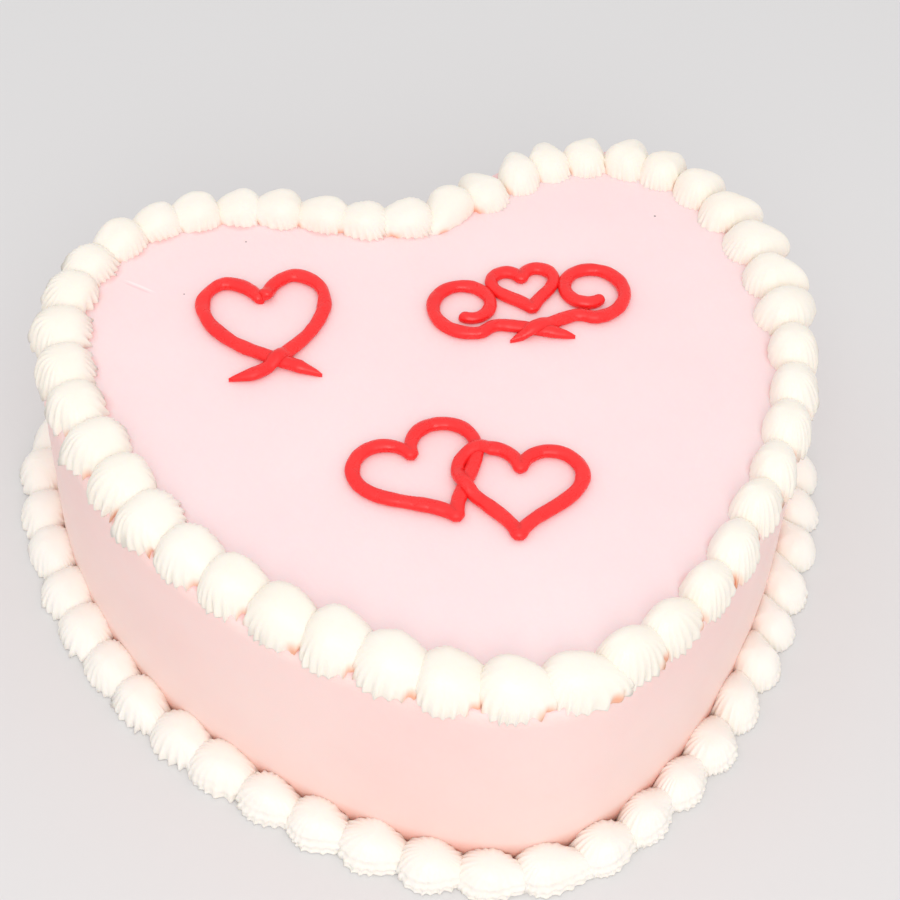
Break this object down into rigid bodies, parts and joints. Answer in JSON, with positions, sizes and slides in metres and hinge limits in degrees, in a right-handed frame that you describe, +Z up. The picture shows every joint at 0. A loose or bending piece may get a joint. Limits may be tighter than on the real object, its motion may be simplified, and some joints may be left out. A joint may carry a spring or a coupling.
{
  "type": "heart-shaped cake",
  "caption": "Uncut heart-shaped layer cake in pink buttercream, with piped cream shell borders round its top edge and foot and red piped motifs on top.",
  "frame": {"origin": "bottom centre of the whole cake's box, on the surface it stands on", "axes": "+Z up, -Y toward the point of the heart, +Y toward its notch, +X to the right when the point is nearest"},
  "size_m": [0.2495, 0.237, 0.0773],
  "materials": {
    "buttercream_pink": "smooth satin buttercream",
    "buttercream_cream": "piped satin buttercream",
    "icing_red": "slightly glossy piped icing"
  },
  "bodies": {
    "root": {"cake": "buttercream_pink", "top_border": "buttercream_cream", "foot_border": "buttercream_cream", "ribbon_heart": "icing_red", "scroll_heart": "icing_red", "twin_hearts": "icing_red"}
  },
  "joints": []
}
